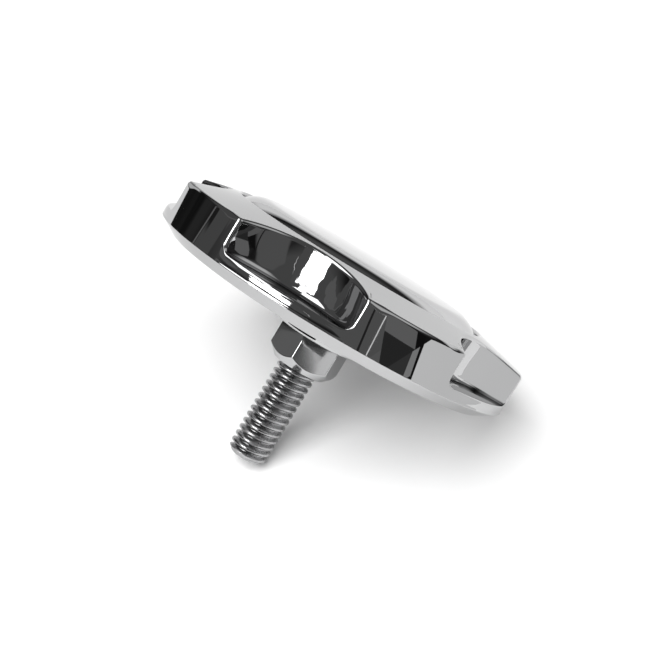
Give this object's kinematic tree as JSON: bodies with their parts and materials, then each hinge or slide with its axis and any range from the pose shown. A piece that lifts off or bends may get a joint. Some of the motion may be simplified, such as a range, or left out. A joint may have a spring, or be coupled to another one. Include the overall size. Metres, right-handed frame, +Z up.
{
  "type": "hub cover nut",
  "caption": "Round chrome-plated hand nut with finger pockets, a recessed face and a threaded stud, used to hold a hub cover.",
  "frame": {"origin": "middle of the bounding box, on the surface that the nut lies on", "axes": "+Z up. The nut lies on its rim and on the tip of its stud, so its axis leans from +Z towards +X, and +Y runs across the face"},
  "size_m": [0.0576, 0.073, 0.0566],
  "materials": {
    "chrome": "polished chrome plate",
    "insert": "polished plate",
    "stud_steel": "bright rolled thread",
    "nut_chrome": "chrome plate over machined faces"
  },
  "bodies": {
    "root": {"cover_body": "chrome", "face_insert": "insert", "stud": "stud_steel", "lock_nut": "nut_chrome"}
  },
  "joints": []
}
